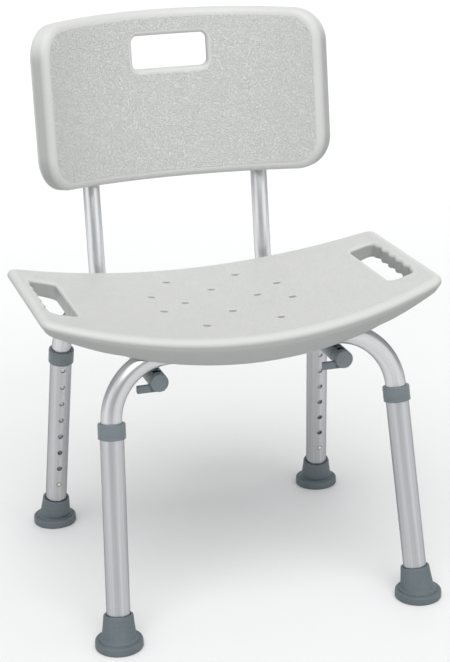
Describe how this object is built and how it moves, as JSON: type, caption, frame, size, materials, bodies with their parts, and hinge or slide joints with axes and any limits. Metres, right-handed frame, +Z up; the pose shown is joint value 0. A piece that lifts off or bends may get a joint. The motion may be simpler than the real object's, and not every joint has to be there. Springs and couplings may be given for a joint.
{
  "type": "shower chair",
  "caption": "Shower chair with a curved drained seat, a removable curved backrest on bent tubes, and height-adjustable splayed legs with rubber feet.",
  "frame": {"origin": "centre of the overall box's base, on the floor", "axes": "+X across the chair, +Y towards the backrest, +Z up"},
  "size_m": [0.502, 0.4604, 0.6925],
  "materials": {
    "shell": "fine moulded texture",
    "leg_alu": "satin anodised",
    "frame_alu": "polished anodised",
    "grey_plastic": "satin",
    "foot_rubber": "matte",
    "button_brass": "worn satin",
    "steel": "zinc plated",
    "spring": "bare spring steel"
  },
  "bodies": {
    "frame": {"seat_shell": "shell", "front_leg_frame": "frame_alu", "rear_leg_frame": "frame_alu", "leg_clip_fl": "grey_plastic", "leg_clip_fr": "grey_plastic", "leg_clip_rl": "grey_plastic", "leg_clip_rr": "grey_plastic", "button_spring_fl": "spring", "button_spring_fr": "spring", "button_spring_rl": "spring", "button_spring_rr": "spring", "lock_housing_left": "grey_plastic", "lock_housing_right": "grey_plastic", "back_guide_left": "grey_plastic", "back_guide_right": "grey_plastic", "clip_screws": "steel", "housing_screws": "steel", "guide_screws": "steel"},
    "backrest": {"back_panel": "shell", "back_tube_left": "frame_alu", "back_tube_right": "frame_alu", "back_tube_cap_left": "grey_plastic", "back_tube_cap_right": "grey_plastic", "panel_screws": "steel"},
    "lever_left": {"lock_lever_left": "grey_plastic"},
    "lever_right": {"lock_lever_right": "grey_plastic"},
    "leg_fl": {"leg_tube_fl": "leg_alu", "leg_collar_fl": "grey_plastic", "foot_tip_fl": "foot_rubber", "foot_washer_fl": "steel"},
    "button_fl": {"snap_button_fl": "button_brass"},
    "leg_fr": {"leg_tube_fr": "leg_alu", "leg_collar_fr": "grey_plastic", "foot_tip_fr": "foot_rubber", "foot_washer_fr": "steel"},
    "button_fr": {"snap_button_fr": "button_brass"},
    "leg_rl": {"leg_tube_rl": "leg_alu", "leg_collar_rl": "grey_plastic", "foot_tip_rl": "foot_rubber", "foot_washer_rl": "steel"},
    "button_rl": {"snap_button_rl": "button_brass"},
    "leg_rr": {"leg_tube_rr": "leg_alu", "leg_collar_rr": "grey_plastic", "foot_tip_rr": "foot_rubber", "foot_washer_rr": "steel"},
    "button_rr": {"snap_button_rr": "button_brass"}
  },
  "joints": [
    {"name": "leg_height_fl", "type": "slide", "parent": "frame", "child": "leg_fl", "axis": [-0.0492, -0.1717, -0.9839], "range_m": [0, 0.1778], "deforming": ["snap_button_fl"]},
    {"name": "button_press_fl", "type": "slide", "parent": "frame", "child": "button_fl", "axis": [0, -0.9851, 0.1719], "range_m": [0, 0.0036], "stiffness_N_per_m": 900, "deforming": ["button_spring_fl"]},
    {"name": "leg_height_fr", "type": "slide", "parent": "frame", "child": "leg_fr", "axis": [0.0492, -0.1717, -0.9839], "range_m": [0, 0.1778], "deforming": ["snap_button_fr"]},
    {"name": "button_press_fr", "type": "slide", "parent": "frame", "child": "button_fr", "axis": [0, -0.9851, 0.1719], "range_m": [0, 0.0036], "stiffness_N_per_m": 900, "deforming": ["button_spring_fr"]},
    {"name": "leg_height_rl", "type": "slide", "parent": "frame", "child": "leg_rl", "axis": [-0.0492, 0.1717, -0.9839], "range_m": [0, 0.1778], "deforming": ["snap_button_rl"]},
    {"name": "button_press_rl", "type": "slide", "parent": "frame", "child": "button_rl", "axis": [0, 0.9851, 0.1719], "range_m": [0, 0.0036], "stiffness_N_per_m": 900, "deforming": ["button_spring_rl"]},
    {"name": "leg_height_rr", "type": "slide", "parent": "frame", "child": "leg_rr", "axis": [0.0492, 0.1717, -0.9839], "range_m": [0, 0.1778], "deforming": ["snap_button_rr"]},
    {"name": "button_press_rr", "type": "slide", "parent": "frame", "child": "button_rr", "axis": [0, 0.9851, 0.1719], "range_m": [0, 0.0036], "stiffness_N_per_m": 900, "deforming": ["button_spring_rr"]},
    {"name": "backrest_pull", "type": "slide", "parent": "frame", "child": "backrest", "axis": [0, 1, 0], "range_m": [0, 0.3]},
    {"name": "lock_lever_left_turn", "type": "hinge", "parent": "frame", "child": "lever_left", "pos_m": [-0.1166, -0.13418, 0.3053], "axis": [0, -1, 0], "range_deg": [0, 90]},
    {"name": "lock_lever_right_turn", "type": "hinge", "parent": "frame", "child": "lever_right", "pos_m": [0.1166, -0.13418, 0.3053], "axis": [0, -1, 0], "range_deg": [0, 90]}
  ]
}
